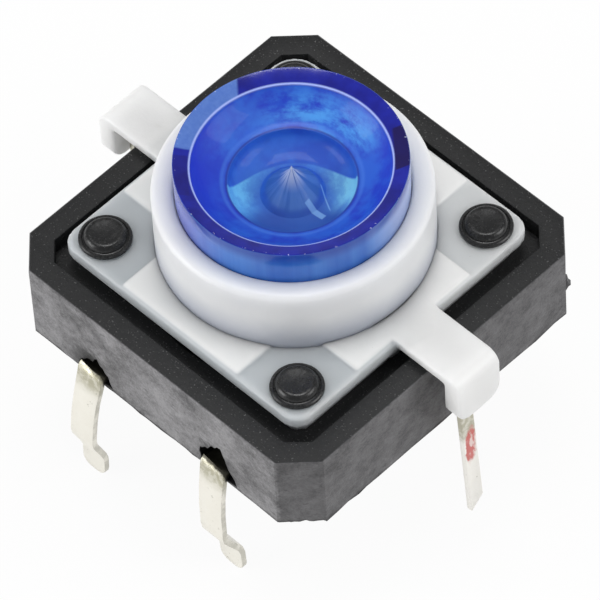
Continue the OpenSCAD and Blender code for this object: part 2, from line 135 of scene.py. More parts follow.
def moved(piece, x=0, y=0, z=0, turn=0):
    """Turns a piece about the Z axis by some degrees, then moves it."""
    only(piece)
    piece.rotation_euler.z = math.radians(turn)
    piece.location = (x, y, z)
    bpy.ops.object.transform_apply(location=True, rotation=True, scale=True)
    return piece


def again(piece, **place):
    """Another of the same, with its own mesh."""
    copy = piece.copy()
    copy.data = piece.data.copy()
    bpy.context.scene.collection.objects.link(copy)
    return moved(copy, **place)


def pick(piece, kind, test):
    """Goes to edit mode with only the faces, edges or points selected whose middle passes."""
    only(piece)
    bpy.ops.object.mode_set(mode="EDIT")
    bpy.ops.mesh.select_mode(type=kind)
    bpy.ops.mesh.select_all(action="DESELECT")
    mesh = bmesh.from_edit_mesh(piece.data)
    for part in {"FACE": mesh.faces, "EDGE": mesh.edges, "VERT": mesh.verts}[kind]:
        corners = [part] if kind == "VERT" else part.verts
        middle = sum((corner.co for corner in corners), Vector()) / len(corners)
        if kind == "EDGE":
            way = (corners[1].co - corners[0].co).normalized()
        else:
            way = part.normal
        if test(middle, way):
            part.select_set(True)
    bmesh.update_edit_mesh(piece.data)


def round_edges(piece, width, segments, test):
    """Bevels the edges that pass."""
    pick(piece, "EDGE", test)
    bpy.ops.mesh.bevel(offset=width, segments=segments, affect="EDGES")
    bpy.ops.object.mode_set(mode="OBJECT")


def modify(piece, kind, **settings):
    """Adds a modifier and applies it."""
    only(piece)
    step = piece.modifiers.new(kind.lower(), kind)
    for name, value in settings.items():
        setattr(step, name, value)
    bpy.ops.object.modifier_apply(modifier=step.name)


def carve(piece, tool, operation="DIFFERENCE"):
    """Cuts a tool out of a piece, or joins it on with UNION."""
    modify(piece, "BOOLEAN", object=tool, operation=operation, solver="EXACT")
    bpy.data.objects.remove(tool)


def settle(piece, angle=35):
    """Brings a finished piece to metres with its place in its mesh, and shades it."""
    only(piece)
    piece.scale = (MM, MM, MM)
    bpy.ops.object.transform_apply(location=True, rotation=True, scale=True)
    bpy.ops.object.shade_smooth_by_angle(angle=math.radians(angle))
    return piece


housing = block("housing_moulding", (-HOUSING_HALF, -HOUSING_HALF, 0),
                (HOUSING_HALF, HOUSING_HALF, HOUSING_HEIGHT))
round_edges(housing, 1.0, 1, lambda middle, way: abs(way.z) > 0.9)
pick(housing, "FACE", lambda middle, way: way.z > 0.9)
bpy.ops.mesh.inset(thickness=0.75)
bpy.ops.mesh.extrude_region_move(
    TRANSFORM_OT_translate={"value": (0, 0, RECESS_FLOOR - HOUSING_HEIGHT)})
round_edges(housing, 0.06, 2, lambda middle, way: middle.z > HOUSING_HEIGHT - 0.01
            and max(abs(middle.x), abs(middle.y), abs(middle.x) + abs(middle.y) - 5) > 5.99)
round_edges(housing, 0.05, 2, lambda middle, way: middle.z > HOUSING_HEIGHT - 0.01
            and max(abs(middle.x), abs(middle.y), abs(middle.x) + abs(middle.y) - 4.7) < 5.27)

for radius, floor in ((WELL_RADIUS, WELL_FLOOR), (POCKET_RADIUS, POCKET_FLOOR)):
    carve(housing, turned("well_cutter", [(0, floor), (radius, floor), (radius, 2.6), (0, 2.6)], 128))

# Outlines of the two ragged mouths on the -Y side
LEFT_MOUTH = [(-3.16, 0.08), (-3.12, 0.3), (-3.0, 0.5), (-2.9, 0.52), (-2.78, 0.7), (-2.66, 0.76),
              (-2.54, 0.74), (-2.44, 0.95), (-2.34, 1.04), (-2.24, 0.84), (-2.12, 0.78), (-2.02, 0.62),
              (-1.9, 0.56), (-1.86, 0.36), (-1.8, 0.2), (-1.7, 0.08)]
RIGHT_MOUTH = [(1.86, 0.08), (1.9, 0.3), (1.84, 0.52), (1.88, 0.76), (1.98, 0.8), (2.1, 0.94),
               (2.22, 0.96), (2.36, 1.22), (2.52, 1.26), (2.62, 1.4), (2.76, 1.44), (2.84, 1.2),
               (2.92, 1.02), (3.02, 0.7), (3.12, 0.56), (3.28, 0.36), (3.36, 0.08)]
for outline, depth in ((LEFT_MOUTH, 0.5), (RIGHT_MOUTH, 0.5)):
    mouth = slab("mouth_cutter", outline, -HOUSING_HALF - 0.5, depth - HOUSING_HALF)
    carve(housing, again(mouth, turn=180))
    carve(housing, mouth)

# The pegs' heads were formed one by one, so each is a little different
PEG_PROFILE = [(0, 0.305), (0.36, 0.31), (0.44, 0.34), (0.5, 0.35), (0.55, 0.335), (0.6, 0.275),
               (0.635, 0.2), (0.65, 0.135), (0.675, 0.13), (0.7, 0.15), (0.75, 0.15), (0.785, 0.125),
               (0.8, 0.08), (0.795, 0.04), (0.76, 0), (0.45, 0), (0.45, -1.2), (0, -1.2)]
for number, (sx, sy) in enumerate(((-1, -1), (1, -1), (1, 1), (-1, 1))):
    peg = turned("peg", [(r, PLATE_PAD + z) for r, z in PEG_PROFILE], 64)
    pick(peg, "VERT", lambda middle, way: middle.z > PLATE_PAD + 0.2 and middle.xy.length > 0.3)
    bpy.ops.transform.vertex_random(offset=0.012, seed=number)
    bpy.ops.mesh.vertices_smooth(factor=0.6, repeat=3)
    moved(peg, sx * PEG_PLACE, sy * PEG_PLACE, turn=80 * number)
    carve(housing, peg, "UNION")

# Lower edges are ragged, with a little flash at one corner. The noise follows the place alone, so
# each run gives the same edge.
pick(housing, "EDGE", lambda middle, way: middle.z < 0.001 and abs(way.z) < 0.1 and max(
    abs(middle.x), abs(middle.y), abs(middle.x) + abs(middle.y) - 5) > 5.99)
bpy.ops.mesh.subdivide(number_cuts=22)
noise.seed_set(5)
mesh = bmesh.from_edit_mesh(housing.data)
for corner in mesh.verts:
    if corner.select:
        corner.co += noise.noise_vector(corner.co * 7.3) * 0.045
bmesh.update_edit_mesh(housing.data)
bpy.ops.object.mode_set(mode="OBJECT")
flash = slab("flash", [(7.7, 0.42), (7.8, 0.4), (7.88, 0.6), (7.94, 0.66), (7.87, 0.74), (7.83, 0.95),
                       (7.7, 0.98)], -0.12, 0.06)
carve(housing, moved(flash, turn=45), "UNION")
settle(housing)


class Socket:
    """A number that varies over a surface: arithmetic on it adds Math nodes."""

    def __init__(self, finish, socket):
        self.finish = finish
        self.socket = socket

    def maths(self, operation, first, second=None):
        inputs = {0: first} if second is None else {0: first, 1: second}
        return self.finish.node("ShaderNodeMath", {"operation": operation}, inputs)

    def __add__(self, other):
        return self.maths("ADD", self, other)

    def __radd__(self, other):
        return self.maths("ADD", other, self)

    def __sub__(self, other):
        return self.maths("SUBTRACT", self, other)

    def __rsub__(self, other):
        return self.maths("SUBTRACT", other, self)

    def __mul__(self, other):
        return self.maths("MULTIPLY", self, other)

    def __rmul__(self, other):
        return self.maths("MULTIPLY", other, self)

    def __pow__(self, other):
        return self.maths("POWER", self, other)

    def __abs__(self):
        return self.maths("ABSOLUTE", self)

    def most(self, other):
        """The larger of two."""
        return self.maths("MAXIMUM", self, other)

    def ramp(self, low, high):
        """0 below low, 1 above high and smooth between."""
        return self.finish.node(
            "ShaderNodeMapRange", {"interpolation_type": "SMOOTHSTEP"},
            {"Value": self, "From Min": low, "From Max": high})

    def band(self, middle, width):
        """1 at the middle value, falling to 0 at width on either side."""
        return 1 - abs(self - middle).ramp(0, width)


class Finish:
    """One material. Lengths in its patterns are millimetres on the piece."""

    def __init__(self, name):
        self.material = bpy.data.materials.new(name)
        self.material.use_nodes = True
        self.tree = self.material.node_tree
        self.tree.nodes.clear()
        self.output = self.tree.nodes.new("ShaderNodeOutputMaterial")
        place = self.node("ShaderNodeTexCoord", {}, {}, "Object")
        self.place = self.node("ShaderNodeVectorMath", {"operation": "SCALE"},
                               {0: place, "Scale": 1 / MM})
        split = self.node("ShaderNodeSeparateXYZ", {}, {0: self.place}, None)
        self.x, self.y, self.z = (Socket(self, out) for out in split.outputs)
        self.radius = (self.x * self.x + self.y * self.y) ** 0.5

    def node(self, kind, settings, inputs, out=0):
        """Adds any node. out is the output that comes back, or None for the node itself."""
        made = self.tree.nodes.new(kind)
        for name, value in settings.items():
            setattr(made, name, value)
        for name, value in inputs.items():
            if isinstance(value, Socket):
                self.tree.links.new(value.socket, made.inputs[name])
            else:
                made.inputs[name].default_value = value
        return made if out is None else Socket(self, made.outputs[out])

    def stretched(self, x=1, y=1, z=1):
        """The place on the piece, drawn out along the axes."""
        return self.node("ShaderNodeVectorMath", {"operation": "MULTIPLY"},
                         {0: self.place, 1: (1 / x, 1 / y, 1 / z)})

    def noise(self, size, detail=3, rough=0.5, at=None):
        """Cloudy pattern between 0 and 1, with blobs about size millimetres across."""
        return self.node("ShaderNodeTexNoise", {"noise_dimensions": "3D"},
                         {"Vector": at or self.place, "Scale": 1 / size,
                          "Detail": detail, "Roughness": rough})

    def mix(self, amount, low, high):
        """Colour between low and high."""
        return self.node("ShaderNodeMix", {"data_type": "RGBA"},
                         {0: amount, 6: low, 7: high}, 2)

    def bump(self, height, depth):
        """Relief of up to depth millimetres."""
        return self.node("ShaderNodeBump", {}, {"Height": height, "Distance": depth * MM})

    def shader(self, **sockets):
        """A Principled shader with these sockets."""
        names = {key.replace("_", " "): value for key, value in sockets.items()}
        return self.node("ShaderNodeBsdfPrincipled", {}, names)

    def done(self, shader, inside=None):
        """Joins a shader, and what fills the piece, to the output."""
        self.tree.links.new(shader.socket, self.output.inputs["Surface"])
        if inside:
            self.tree.links.new(inside.socket, self.output.inputs["Volume"])
        return self.material


def grey(value):
    return (value, value, value, 1)


def wear(piece, material):
    """Gives a piece its material in place of what it had."""
    piece.data.materials.clear()
    piece.data.materials.append(material)


def black_nylon(name):
    """Dull black moulding, shiny where it was staked. Its outer sides are grey, partly from scuffing
    and partly as painted sheen, lighter on the ±Y sides as painted light, with painted shade round
    the mouths, and darker towards the bottom edge.
    """
    f = Finish(name)
    out = abs(f.x).most(abs(f.y)).most(abs(f.x) + abs(f.y) - 5)
    side = out.ramp(5.93, 5.985)
    y_sides = abs(f.y).ramp(5.93, 5.985)
    head = f.z.ramp(3.2, 3.4)
    cloud = f.noise(1.6, 4, 0.6)
    mottle = f.noise(0.4, 6, 0.66, f.stretched(x=1.3, y=1.3))
    grit = f.noise(0.07, 3, 0.6)
    speck = f.noise(0.06, 1, 0.4).ramp(0.66, 0.76)
    pit = f.noise(0.22, 3, 0.6, f.stretched(x=1.6, y=1.6)).ramp(0.3, 0.4)
    # Grey on the outer sides: partly scuffing and partly painted sheen, made stronger on the ±Y sides than
    # on the ±X sides as painted light.
    scuff = (mottle * 0.6 + cloud * 0.45 + grit * 0.35).ramp(0.36, 1.02) * (0.55 + 0.45 * pit)
    # Painted shade round the mouths, darkening the ±Y sides near their foot.
    shade_round_mouths = (abs(f.x) - 2.6 + (cloud - 0.5) * 0.9).band(0, 1.0) * (
        1 - (f.z + (mottle - 0.5) * 1.2).ramp(0.75, 1.4)) * y_sides
    scuff = scuff * (1 - shade_round_mouths) * (0.5 + 0.5 * y_sides)
    dull = f.mix(grit.ramp(0.35, 0.8), (0.004, 0.0043, 0.005, 1), (0.011, 0.0115, 0.012, 1))
    # Lighter streaks on the peg heads: partly rubbing and partly painted highlight.
    rub_and_sheen = f.noise(0.22, 4, 0.65, f.stretched(x=0.8, y=2)).ramp(0.5, 0.72) * head
    dull = f.mix(rub_and_sheen * 0.35, dull, grey(0.06))
    dull = f.mix(speck * (1 - head * 0.4) * 0.5, dull, grey(0.2))
    worn_and_sheen = f.mix(scuff, (0.03, 0.029, 0.031, 1), (0.35, 0.345, 0.355, 1))
    # Darker towards the bottom edge.
    darkening = (1 - (f.z + (mottle - 0.5) * 0.25).ramp(0, 0.14)) * 0.7
    worn_and_sheen = f.mix((shade_round_mouths * 0.8).most(darkening), worn_and_sheen, grey(0.008))
    base = f.mix(side, dull, worn_and_sheen)
    rough = 0.54 - 0.3 * head + 0.08 * grit
    height = mottle * side * 3 + (grit * 1.5 + mottle) * (1 - head) + speck
    return f.done(f.shader(Base_Color=base, Roughness=rough, Normal=f.bump(height, 0.012)))


wear(housing, black_nylon("black_nylon"))
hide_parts("housing")
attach(housing, "switch_body")

# The presser is a small disc of the same nylon. It lies on the dome, and the collar's two legs
# rest on it.
wear(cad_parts["presser"], black_nylon("presser_nylon"))

# Two strips of brass, stamped, bent and tin plated, run through the housing. Each ends in two
# terminals, kinked to snap into the board and knocked a little out of line by handling.
TERMINAL_X = 2.5
STRIP_MIDDLE, STRIP_THICKNESS = 0.3, 0.2
TERMINAL_WIDTH = 0.93
TIP_Z = -4.38


def strip(name, path, width, thickness, way, corners=()):
    """Flat metal strip from the line through its middle. way is the axis its width lies on, and
    corners gives the radius at the corners of the path's last and first ends."""
    across = Vector(way) * width
    piece = line(name, [Vector(point) - across / 2 for point in path])
    bpy.ops.mesh.extrude_edges_move(TRANSFORM_OT_translate={"value": across})
    for tip, radius in zip((path[-1], path[0]), corners):
        pick(piece, "VERT", lambda middle, way: (middle - Vector(tip)).length < width * 0.51)
        bpy.ops.mesh.bevel(offset=radius, segments=4, affect="VERTICES")
    modify(piece, "SOLIDIFY", thickness=thickness, offset=0, use_even_offset=True)
    modify(piece, "BEVEL", width=thickness * 0.16, segments=2, limit_method="ANGLE",
           angle_limit=math.radians(40))
    return piece


def terminal(x, side, lean, shoulder, knee, foot):
    """Path of a terminal on the side (-1 or 1 in Y), from the housing's middle to its tip. lean is
    how far the tip stands off in X, and shoulder, knee and foot how far out the metal is there."""
    points = [(0.2, STRIP_MIDDLE), (shoulder - 0.26, STRIP_MIDDLE), (shoulder - 0.12, STRIP_MIDDLE - 0.03),
              (shoulder - 0.03, STRIP_MIDDLE - 0.12), (shoulder, STRIP_MIDDLE - 0.26),
              (shoulder + (knee - shoulder) * 0.5, -0.7), (shoulder + (knee - shoulder) * 0.8, -1.4),
              (knee - 0.02, -2.05), (knee, -2.28), (knee - 0.03, -2.5), (foot + 0.06, -3.3),
              (foot, -3.55), (foot + 0.01, TIP_Z)]
    return [(x + lean * max(0.0, -z / -TIP_Z) ** 1.2, side * out, z) for out, z in points]


def contact(name, x, front, rear):
    """Strip that ends in a terminal on each side, front and rear giving how each is bent."""
    path = terminal(x, 1, *rear)[::-1] + terminal(x, -1, *front)
    return strip(name, path, TERMINAL_WIDTH, STRIP_THICKNESS, (1, 0, 0), (0.34, 0.34))


common = contact("common_strip", -TERMINAL_X, (-0.1, 6.16, 6.63, 6.22), (-0.1, 6.2, 6.5, 6.2))
carve(common, block("rim_contact", (-3.14, -0.6, 0.21), (-2.08, 0.6, POCKET_FLOOR)), "UNION")
centre = contact("centre_strip", TERMINAL_X, (0.31, 6.1, 6.4, 5.84), (0.1, 6.2, 6.55, 6.2))
carve(centre, block("link", (0, -0.4, 0.21), (2.12, 0.4, 0.39)), "UNION")
carve(centre, turned("pad", [(0, 0.205), (0.6, 0.205), (0.6, 0.4), (0.43, 0.4), (0.4, 0.43),
                             (0.4, 0.7), (0.37, 0.72), (0, 0.72)], 48), "UNION")

# The terminals on the -Y side keep a sharp upper corner from the shears
for strip_piece, x in ((common, -TERMINAL_X), (centre, TERMINAL_X)):
    pick(strip_piece, "VERT", lambda middle, way: middle.x < x - 0.3 and middle.y < -6.0
         and middle.z > 0.02)
    bpy.ops.transform.translate(value=(0, 0, 0.2))


def tin_plate(name, base, sheared=0):
    """Bright tin, clouded by handling and yellowed where the metal was bent, and painted near black as
    shade where it lies inside the housing's mouths. sheared says how much bare metal shows on the
    faces that look along X."""
    f = Finish(name)
    facing = f.node("ShaderNodeNewGeometry", {}, {}, "Normal")
    cut_face = abs(f.node("ShaderNodeSeparateXYZ", {}, {0: facing}, "X")).ramp(0.45, 0.85)
    cloud = f.noise(0.5, 4, 0.6)
    scuff = f.noise(0.09, 4, 0.7)
    bend = (f.z + cloud * 0.5).ramp(-0.2, 0.4) * (0.6 + 0.4 * f.noise(0.2, 4, 0.65).ramp(0.4, 0.58))
    ragged = (f.noise(0.25, 4, 0.7) - 0.5) * 0.16
    # Painted shade: near black on the strip inside the housing's mouths.
    shade_in_mouth = (1 - (abs(f.y) + ragged).ramp(6.06, 6.13)) * f.z.ramp(0.02, 0.1) * abs(f.y).ramp(5, 5.2)
    mark = f.noise(0.16, 3, 0.6).ramp(0.66, 0.74)
    tint = f.mix(cloud, base, (0.93, 0.91, 0.84, 1))
    tint = f.mix(bend * 0.8, tint, (0.38, 0.36, 0.24, 1))
    tint = f.mix(mark * 0.55, tint, (0.33, 0.32, 0.25, 1))
    tint = f.mix(cut_face * sheared * cloud.ramp(0.3, 0.6), tint, (0.3, 0.29, 0.23, 1))
    tint = f.mix(shade_in_mouth * 0.92, tint, (0.02, 0.018, 0.012, 1))
    return f, tint, scuff, cloud


def tinned(name, base, sheared=0):
    f, tint, scuff, cloud = tin_plate(name, base, sheared)
    return f.done(f.shader(Base_Color=tint, Metallic=0.8, Roughness=0.3 + 0.22 * scuff,
                           Normal=f.bump(scuff * 0.5 + cloud, 0.012)))


for strip_piece, node in ((common, "contact_common"), (centre, "contact_centre")):
    settle(strip_piece, 40)
    wear(strip_piece, tinned(node + "_tin", (0.86, 0.83, 0.74, 1), 0.5))
    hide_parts(node)
    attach(strip_piece, "switch_body")

# The snap dome is a thin cap of bright spring steel, pressed from strip. It rests in the
# housing's pocket, and the presser flattens it towards its rim as the button goes down.
DOME_RADIUS, DOME_RISE, DOME_THICKNESS = 3.0, 0.4, 0.08
SPHERE = (DOME_RADIUS ** 2 + DOME_RISE ** 2) / (2 * DOME_RISE)


def cap_line(sphere):
    """Arc of the dome's section from its middle to its rim."""
    middle = POCKET_FLOOR + DOME_RISE - SPHERE
    return [(DOME_RADIUS * k / 12, middle + math.sqrt(sphere ** 2 - (DOME_RADIUS * k / 12) ** 2))
            for k in range(13)]


dome = turned("spring_dome", cap_line(SPHERE) + cap_line(SPHERE + DOME_THICKNESS)[::-1], 128)
settle(dome)


def spring_steel():
    f = Finish("spring_steel")
    grain = f.noise(0.2, 4, 0.6)
    return f.done(f.shader(Base_Color=f.mix(grain, (0.6, 0.59, 0.56, 1), (0.66, 0.65, 0.62, 1)),
                           Metallic=1.0, Roughness=0.2 + 0.2 * grain, Normal=f.bump(grain, 0.004)))


wear(dome, spring_steel())
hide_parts("snap_dome")
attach(dome, "switch_body")
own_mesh(dome)

# The cover plate is moulded in milky white plastic round the lamp's leads, with a raised cross on
# its face. Its two arms carry the leads over the housing's rim, and soft edges show its wear.
PLATE_HALF, BODY_HALF = 4.85, 4.55
LIP_FOOT = PLATE_PAD - 0.45
FAR_CORNER, OTHER_CORNERS = 0.85, 0.55
BAR_LENGTH, BAR_HALF = 4.76, 2.34
OPENING_RADIUS = 4.112
CROSS_TOP = 3.5
LEAD_TOP, LEAD_THICKNESS, LEAD_WIDTH = 3.15, 0.2, 0.5
ARM_INSIDE, ARM_TIP, ARM_HALF, ARM_FOOT = 6.75, 7.35, 0.85, 1.68

plate = block("plate_moulding", (-BODY_HALF, -BODY_HALF, RECESS_FLOOR),
              (BODY_HALF, BODY_HALF, PLATE_PAD - 0.2))
round_edges(plate, 0.5, 4, lambda middle, way: abs(way.z) > 0.9)
lip = block("lip", (-PLATE_HALF, -PLATE_HALF, LIP_FOOT), (PLATE_HALF, PLATE_HALF, PLATE_PAD))
round_edges(lip, FAR_CORNER, 6, lambda middle, way: abs(way.z) > 0.9 and middle.x < 0 < middle.y)
round_edges(lip, OTHER_CORNERS, 4, lambda middle, way: abs(way.z) > 0.9
            and abs(middle.x) + abs(middle.y) > 9.6)
carve(plate, lip, "UNION")
for turn in (0, 90):
    bar = block("bar", (-BAR_LENGTH, -BAR_HALF, LIP_FOOT), (BAR_LENGTH, BAR_HALF, CROSS_TOP))
    round_edges(bar, 0.1, 2, lambda middle, way: middle.z > CROSS_TOP - 0.01)
    carve(plate, moved(bar, turn=turn), "UNION")
for turn in (0, 180):
    arm = slab("arm", [(4, LEAD_TOP), (ARM_INSIDE, LEAD_TOP), (ARM_INSIDE, ARM_FOOT),
                       (ARM_TIP, ARM_FOOT), (ARM_TIP, CROSS_TOP), (4, CROSS_TOP)],
               -ARM_HALF, ARM_HALF)
    round_edges(arm, 0.48, 5, lambda middle, way: abs(way.x) > 0.9 and middle.z < ARM_FOOT + 0.01)
    round_edges(arm, 0.45, 6, lambda middle, way: abs(way.y) > 0.9
                and middle.x > 7.3 and middle.z > 3.4)
    carve(plate, moved(arm, turn=turn), "UNION")
carve(plate, turned("opening", [(0, 2), (4.04, 2), (4.04, 4), (0, 4)], 160))
carve(plate, block("bridge", (-4.6, -0.75, RECESS_FLOOR), (4.6, 0.75, LEAD_TOP)), "UNION")
carve(plate, turned("seat", [(0, 2.3), (1.8, 2.3), (1.8, LEAD_TOP), (0, LEAD_TOP)]), "UNION")
for sx in (-1, 1):
    for sy in (-1, 1):
        hole = turned("hole", [(0, 2), (0.47, 2), (0.47, 4), (0, 4)], 48)
        carve(plate, moved(hole, sx * PEG_PLACE, sy * PEG_PLACE))
carve(plate, block("lead_slot", (-6.4, -0.27, LEAD_TOP - LEAD_THICKNESS - 0.01),
                   (6.4, 0.27, LEAD_TOP + 0.01)))
modify(plate, "REMESH", mode="VOXEL", voxel_size=0.055)
modify(plate, "SMOOTH", factor=0.5, iterations=4)
modify(plate, "DECIMATE", ratio=0.45)
opening = turned("opening", [(3.85, 2.2), (OPENING_RADIUS, 2.2), (OPENING_RADIUS, 4), (3.85, 4),
                             (3.85, 2.2)], 160)
carve(opening, block("bridge_gap", (-5, -0.82, 2), (5, 0.82, LEAD_TOP + 0.04)))
carve(plate, opening)
settle(plate, 60)


def milky_plastic(name, lit_tint, shaded_tint, body, gloss=0.32, depth=1.0):
    """White plastic that lets light some millimetres in. Its colour runs from the darker tint to the
    lighter one by the mask that body gives, which is painted light and shade, with a little random cloud."""
    f = Finish(name)
    cloud = f.noise(1.6, 3, 0.5)
    grain = f.noise(0.12, 4, 0.6)
    tint = f.mix(body(f) + cloud * 0.3 - 0.15, shaded_tint, lit_tint)
    darkening = f.noise(0.09, 2, 0.5).ramp(0.76, 0.82)
    tint = f.mix(darkening * 0.2, tint, (0.25, 0.24, 0.22, 1))
    return f.done(f.shader(
        Base_Color=tint, Roughness=gloss + 0.14 * grain, Subsurface_Weight=1.0,
        Subsurface_Radius=(1.0, 1.0, 1.0), Subsurface_Scale=depth * MM,
        Normal=f.bump(grain, 0.004)))


# The plate's colour is painted: the pads darker than the raised cross as painted shade, and lighter
# towards +X +Y and along the arms as painted light.
wear(plate, milky_plastic(
    "plate_plastic", (0.88, 0.88, 0.865, 1), (0.47, 0.5, 0.52, 1),
    lambda f: (f.z.ramp(PLATE_PAD + 0.01, CROSS_TOP - 0.01) * 0.7
               + (f.x * 0.67 + f.y * 0.74).ramp(2.6, 4.4) * 0.42).most(abs(f.x).ramp(4.6, 5.6))))
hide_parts("cover_plate")
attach(plate, "switch_body")

# The lamp's leads are stamped from tinned steel and lie under the arms. The one on the +X side
# has a smear of red ink, which shows its polarity.
LEAD_MIDDLE = LEAD_TOP - LEAD_THICKNESS / 2
LEAD_X = ARM_INSIDE - LEAD_THICKNESS / 2
LEAD_TIP = -3.49


def lead_path(start, side, spread):
    """Middle line of a lead towards side (-1 or 1 in X)."""
    bend = 0.25
    points = [(start, LEAD_MIDDLE)]
    for angle in (0, 18, 36, 54, 72, 90):
        a = math.radians(angle)
        points.append((LEAD_X - bend * (1 - math.sin(a)), LEAD_MIDDLE - bend * (1 - math.cos(a))))
    points += [(LEAD_X, 1.7), (LEAD_X + 0.02, 1.2), (LEAD_X + spread, LEAD_TIP)]
    return [(side * x, 0, z) for x, z in points]


cathode = strip("cathode_lead", lead_path(0, -1, 0.33), LEAD_WIDTH, LEAD_THICKNESS, (0, 1, 0))
carve(cathode, turned("pad", [(0, 2.95), (0.4, 2.95), (0.4, LEAD_TOP), (0, LEAD_TOP)], 48), "UNION")
anode = strip("anode_lead", lead_path(0.5, 1, 0.36), LEAD_WIDTH, LEAD_THICKNESS, (0, 1, 0))
for lead in (cathode, anode):
    pick(lead, "VERT", lambda middle, way: middle.z < LEAD_TIP + 0.06 and middle.y > 0.1)
    bpy.ops.transform.translate(value=(0, 0, 0.4))
    settle(lead, 40)


def inked_tin():
    """Tinned lead with a smear of red marker ink on it."""
    f, tint, scuff, cloud = tin_plate("inked_tin", (0.98, 0.96, 0.92, 1))
    ragged = f.noise(0.35, 4, 0.6, f.stretched(z=1.5)) - 0.5
    smear = (f.z + 0.55 + ragged * 0.8).band(0, 1.15) * (f.y + ragged * 0.35).band(0, 0.34)
    gaps = f.noise(0.2, 3, 0.65, f.stretched(z=1.6)).ramp(0.4, 0.52)
    ink = smear.ramp(0.25, 0.55) * (0.35 + 0.65 * gaps)
    tint = f.mix(ink * 0.9, tint, (0.62, 0.09, 0.08, 1))
    return f.done(f.shader(Base_Color=tint, Metallic=0.75 - ink * 0.7,
                           Roughness=0.3 + 0.2 * scuff + 0.15 * ink,
                           Normal=f.bump(scuff * 0.5 + cloud, 0.01)))


wear(cathode, tinned("lead_tin", (0.92, 0.9, 0.85, 1)))
wear(anode, inked_tin())
for lead, node in ((cathode, "lead_cathode"), (anode, "lead_anode")):
    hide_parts(node)
    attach(lead, "switch_body")

# The lamp is a chip on the cathode's pad, joined to the other lead by a gold wire, with clear
# resin cast over them.
lamp = turned("lamp_casting", [
    (0, LEAD_TOP), (1.43, LEAD_TOP), (1.45, 3.18), (1.45, 3.82), (1.42, 3.93), (1.34, 4.02),
    (1.2, 4.11), (0.95, 4.24), (0.65, 4.36), (0.35, 4.43), (0, 4.45)], 96)
settle(lamp)


def clear_resin():
    f = Finish("clear_resin")
    ripple = f.noise(0.6, 2, 0.4)
    return f.done(f.shader(Base_Color=f.mix(ripple, (0.9, 0.93, 0.97, 1), (0.95, 0.96, 0.98, 1)),
                           Roughness=0.03, IOR=1.5, Transmission_Weight=1.0,
                           Normal=f.bump(ripple, 0.002)))


def chip_face():
    f = Finish("chip_face")
    speck = f.noise(0.05, 2, 0.5)
    return f.done(f.shader(Base_Color=f.mix(speck, (0.5, 0.45, 0.2, 1), (0.75, 0.7, 0.4, 1)),
                           Roughness=0.3 + 0.1 * speck))


def gold():
    f = Finish("gold")
    grain = f.noise(0.05, 2, 0.5)
    return f.done(f.shader(Base_Color=f.mix(grain, (0.93, 0.68, 0.3, 1), (0.96, 0.76, 0.36, 1)),
                           Metallic=1.0, Roughness=0.15 + 0.2 * grain))


wear(lamp, clear_resin())
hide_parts("lamp_body")
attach(lamp, "switch_body")
wear(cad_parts["lamp_chip"], chip_face())
wear(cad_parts["bond_wire"], gold())

# The collar is the white ring of the button. The lens sits on its inner ledge, and two hooked
# legs reach down beside the lamp and hold it under the plate.
COLLAR_RADIUS, COLLAR_BORE, COLLAR_TOP, COLLAR_FOOT = 4.1, 3.43, 5.7, 2.6
NOTCH_TOP, LEDGE_TOP, LEDGE_RADIUS = 3.5, 3.8, 2.93

collar = turned("collar_moulding", [
    (LEDGE_RADIUS, NOTCH_TOP), (COLLAR_BORE, NOTCH_TOP), (COLLAR_BORE, COLLAR_FOOT),
    (COLLAR_RADIUS, COLLAR_FOOT), (COLLAR_RADIUS, 5.52), (4.087, 5.588), (4.047, 5.647),
    (3.988, 5.687), (3.92, COLLAR_TOP), (3.53, COLLAR_TOP), (3.47, 5.67), (COLLAR_BORE, 5.6),
    (COLLAR_BORE, LEDGE_TOP), (LEDGE_RADIUS, LEDGE_TOP), (LEDGE_RADIUS, NOTCH_TOP)], 192)
carve(collar, block("notch", (-5, -0.9, 2), (5, 0.9, NOTCH_TOP)))
legs = turned("legs", [(COLLAR_BORE, 1.9), (COLLAR_RADIUS, 1.9), (COLLAR_RADIUS, 1.97),
                       (4.45, 2.17), (4.45, 2.27), (COLLAR_RADIUS, 2.27), (COLLAR_RADIUS, 3.0),
                       (COLLAR_BORE, 3.0), (COLLAR_BORE, 1.9)], 128)
carve(legs, block("leg_width", (-1.3, -6, 1), (1.3, 6, 4)), "INTERSECT")
carve(collar, legs, "UNION")
settle(collar)
# The collar is painted darker towards its foot, as painted shade.
wear(collar, milky_plastic("collar_plastic", (0.8, 0.81, 0.825, 1), (0.34, 0.37, 0.45, 1),
                           lambda f: f.z.ramp(3.1, 4.9), 0.28, 0.8))
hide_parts("collar")
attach(collar, "button")

# The lens is moulded in clear blue plastic and polished. Its bowl gathers the lamp's light, with
# a ring step round the bottom and a fine cone in the middle.
RIM_TOP = 6.86
CHAMBER_RADIUS, CHAMBER_TOP = 1.95, 4.96
BOWL_FLOOR = 5.36

cone = [(0.95 * (1 - k / 8) ** 1.35, BOWL_FLOOR + 1.24 * k / 8) for k in range(8, -1, -1)]
well = [(0.95 + 0.89 * math.cos(math.radians(a)), 5.86 - 0.5 * math.sin(math.radians(a)))
        for a in range(80, -1, -10)]
lens = turned("lens_moulding", cone + well + [
    (1.86, 5.92), (1.92, 5.945), (1.95, 5.945), (2.12, 6.01), (2.34, 6.12), (2.54, 6.26),
    (2.72, 6.43), (2.84, 6.56), (2.9, 6.63), (2.915, 6.665), (2.955, 6.69), (3.15, 6.765),
    (3.34, 6.85), (3.375, RIM_TOP), (3.405, 6.845), (3.41, 6.8), (3.41, LEDGE_TOP + 0.06),
    (3.35, LEDGE_TOP),
    (CHAMBER_RADIUS + 0.05, LEDGE_TOP), (CHAMBER_RADIUS, LEDGE_TOP + 0.05),
    (CHAMBER_RADIUS, CHAMBER_TOP - 0.25), (CHAMBER_RADIUS - 0.25, CHAMBER_TOP),
    (0, CHAMBER_TOP)], 256)
settle(lens, 30)


